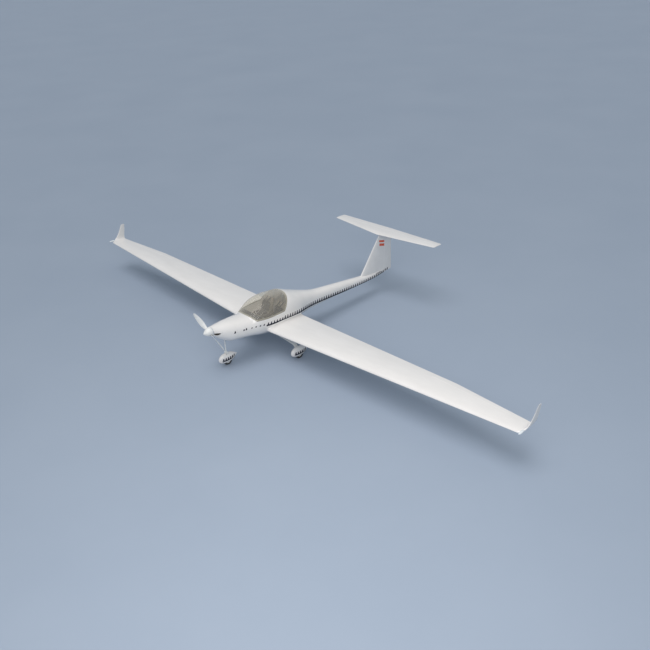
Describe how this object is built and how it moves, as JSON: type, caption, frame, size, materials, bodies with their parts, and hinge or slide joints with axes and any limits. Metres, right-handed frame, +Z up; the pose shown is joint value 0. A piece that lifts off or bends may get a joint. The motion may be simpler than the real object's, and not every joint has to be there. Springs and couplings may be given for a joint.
{
  "type": "rc sailplane",
  "caption": "Radio-controlled touring motor glider: slender low wing with winglets, T-tail, tricycle gear in wheel spats, two-blade propeller and hinged bubble canopy.",
  "frame": {"origin": "midway between the spinner tip and the tail trailing edge, on the centreline, at the height of the tyres' contact with the ground", "axes": "+X points forward to the nose, +Y to the port wing tip (the longest extent), +Z up"},
  "size_m": [1.214, 2.7236, 0.319],
  "materials": {
    "white_gelcoat": "polished white moulding",
    "white_film": "gloss white film over sheeted balsa",
    "white_moulding": "gloss white injection moulding",
    "plywood": "bare aircraft plywood",
    "black_plastic": "moulded casing",
    "servo_arm_plastic": "glass-filled nylon",
    "battery_wrap": "foil pouch cells in a dark shrink wrap",
    "seat_foam": "vacuum-formed seats",
    "steel": "bright wire and turned steel",
    "motor_metal": "machined and anodised",
    "carbon": "carbon-fibre rod",
    "alloy": "machined",
    "white_spring": "glass-fibre spring leg, painted white",
    "white_steel": "steel, painted white",
    "tyre": "solid rubber",
    "canopy_glazing": "clear acrylic, lightly smoked",
    "canopy_trim": "moulded canopy frame"
  },
  "bodies": {
    "airframe": {"fuselage_left": "white_gelcoat", "fuselage_right": "white_gelcoat", "engine_cowl": "white_gelcoat", "firewall": "plywood", "motor_base": "motor_metal", "electronics": "black_plastic", "battery_pack": "battery_wrap", "equipment_tray": "plywood", "rudder_servo": "black_plastic", "cockpit_floor": "plywood", "seats": "seat_foam", "instrument_panel": "black_plastic", "canopy_hinge_rod": "steel", "wing_left": "white_film", "wing_right": "white_film", "winglet_left": "white_gelcoat", "winglet_right": "white_gelcoat", "wing_joiner": "carbon", "joiner_sleeves": "alloy", "aileron_servos": "black_plastic", "hinge_pins": "steel", "main_gear_spring": "white_spring", "mounting_screws": "steel", "main_axles": "steel", "main_spat_left": "white_gelcoat", "main_spat_right": "white_gelcoat", "fin": "white_film", "stabilizer": "white_film", "elevator_servo": "black_plastic", "nose_gear_bracket": "alloy", "nose_weight": "steel"},
    "propeller": {"spinner": "white_moulding", "spinner_plate": "alloy", "propeller": "white_moulding", "motor_rotor": "steel"},
    "canopy": {"canopy_frame": "canopy_trim", "canopy_glass": "canopy_glazing", "canopy_arms": "alloy"},
    "nose_gear": {"nose_leg": "white_steel", "nose_spat": "white_gelcoat", "steering_arm": "alloy"},
    "nose_wheel": {"nose_tyre": "tyre", "nose_hub": "white_moulding"},
    "main_wheel_left": {"main_tyre_left": "tyre", "main_hub_left": "white_moulding"},
    "main_wheel_right": {"main_tyre_right": "tyre", "main_hub_right": "white_moulding"},
    "aileron_left": {"aileron_left": "white_film"},
    "aileron_right": {"aileron_right": "white_film"},
    "elevator": {"elevator": "white_film"},
    "rudder": {"rudder": "white_film"},
    "aileron_arm_left": {"aileron_arm_left": "servo_arm_plastic"},
    "aileron_arm_right": {"aileron_arm_right": "servo_arm_plastic"},
    "elevator_arm": {"elevator_arm": "servo_arm_plastic"},
    "rudder_arm": {"rudder_arm": "servo_arm_plastic"},
    "aileron_rod_left": {"aileron_rod_left": "steel"},
    "aileron_rod_right": {"aileron_rod_right": "steel"},
    "elevator_rod": {"elevator_rod": "steel"},
    "rudder_rod": {"rudder_rod": "steel"},
    "steering_rod": {"steering_rod": "steel"}
  },
  "joints": [
    {"name": "propeller_spin", "type": "hinge", "parent": "airframe", "child": "propeller", "pos_m": [0.594, 0, 0.197], "axis": [1, 0, 0], "continuous": true},
    {"name": "canopy_hinge", "type": "hinge", "parent": "airframe", "child": "canopy", "pos_m": [0.112, 0, 0.205], "axis": [0, -1, 0], "range_deg": [0, 45]},
    {"name": "nose_wheel_steering", "type": "hinge", "parent": "airframe", "child": "nose_gear", "pos_m": [0.505, 0, 0.156], "axis": [0, 0, 1], "range_deg": [-21.5, 21.5]},
    {"name": "nose_wheel_spin", "type": "hinge", "parent": "nose_gear", "child": "nose_wheel", "pos_m": [0.501, 0, 0.0225], "axis": [0, 1, 0], "continuous": true},
    {"name": "main_wheel_left_spin", "type": "hinge", "parent": "airframe", "child": "main_wheel_left", "pos_m": [0.25, 0.2005, 0.0225], "axis": [0, 1, 0], "continuous": true},
    {"name": "main_wheel_right_spin", "type": "hinge", "parent": "airframe", "child": "main_wheel_right", "pos_m": [0.25, -0.2005, 0.0225], "axis": [0, 1, 0], "continuous": true},
    {"name": "aileron_left_hinge", "type": "hinge", "parent": "airframe", "child": "aileron_left", "pos_m": [0.18575, 1.077, 0.15668], "axis": [0.0692, 0.9972, 0.0287], "range_deg": [-20, 20]},
    {"name": "aileron_right_hinge", "type": "hinge", "parent": "airframe", "child": "aileron_right", "pos_m": [0.18575, -1.077, 0.15668], "axis": [-0.0692, 0.9972, -0.0287], "range_deg": [-20.5, 20.5]},
    {"name": "elevator_hinge", "type": "hinge", "parent": "airframe", "child": "elevator", "pos_m": [-0.57, 0, 0.314], "axis": [0, 1, 0], "range_deg": [-20, 20]},
    {"name": "rudder_hinge", "type": "hinge", "parent": "airframe", "child": "rudder", "pos_m": [-0.547, 0, 0.1895], "axis": [-0.0919, 0, 0.9958], "range_deg": [-18, 18]},
    {"name": "aileron_servo_left", "type": "hinge", "parent": "airframe", "child": "aileron_arm_left", "pos_m": [0.23126, 1.07, 0.15648], "axis": [0, 1, 0], "range_deg": [-20.5, 20.5]},
    {"name": "aileron_servo_right", "type": "hinge", "parent": "airframe", "child": "aileron_arm_right", "pos_m": [0.23126, -1.07, 0.15648], "axis": [0, 1, 0], "range_deg": [-20.5, 20.5]},
    {"name": "elevator_servo_shaft", "type": "hinge", "parent": "airframe", "child": "elevator_arm", "pos_m": [-0.525, -0.008, 0.27], "axis": [0, 1, 0], "range_deg": [-20.5, 20.5]},
    {"name": "rudder_servo_shaft", "type": "hinge", "parent": "airframe", "child": "rudder_arm", "pos_m": [0.395, 0, 0.156], "axis": [0, 0, 1], "range_deg": [-21.5, 21.5]},
    {"name": "aileron_rod_left_slide", "type": "slide", "parent": "airframe", "child": "aileron_rod_left", "axis": [1, 0, 0], "range_m": [-0.00359, 0.00359]},
    {"name": "aileron_rod_right_slide", "type": "slide", "parent": "airframe", "child": "aileron_rod_right", "axis": [1, 0, 0], "range_m": [-0.00359, 0.00359]},
    {"name": "elevator_rod_slide", "type": "slide", "parent": "airframe", "child": "elevator_rod", "axis": [1, 0, 0], "range_m": [-0.00359, 0.00359]},
    {"name": "rudder_rod_slide", "type": "slide", "parent": "airframe", "child": "rudder_rod", "axis": [1, 0, 0], "range_m": [-0.0045, 0.0045]},
    {"name": "steering_rod_slide", "type": "slide", "parent": "airframe", "child": "steering_rod", "axis": [1, 0, 0], "range_m": [-0.0045, 0.0045]}
  ],
  "couplings": [
    {"joint": "aileron_right_hinge", "follows": "aileron_left_hinge", "ratio": -1},
    {"joint": "aileron_servo_left", "follows": "aileron_left_hinge", "ratio": 1},
    {"joint": "aileron_servo_right", "follows": "aileron_left_hinge", "ratio": -1},
    {"joint": "aileron_rod_left_slide", "follows": "aileron_left_hinge", "m_per_rad": -0.01},
    {"joint": "aileron_rod_right_slide", "follows": "aileron_left_hinge", "m_per_rad": 0.01},
    {"joint": "elevator_servo_shaft", "follows": "elevator_hinge", "ratio": -1},
    {"joint": "elevator_rod_slide", "follows": "elevator_hinge", "m_per_rad": -0.01},
    {"joint": "rudder_servo_shaft", "follows": "rudder_hinge", "ratio": -1.1667},
    {"joint": "nose_wheel_steering", "follows": "rudder_hinge", "ratio": -1.1667},
    {"joint": "rudder_rod_slide", "follows": "rudder_hinge", "m_per_rad": -0.014},
    {"joint": "steering_rod_slide", "follows": "rudder_hinge", "m_per_rad": 0.014}
  ]
}
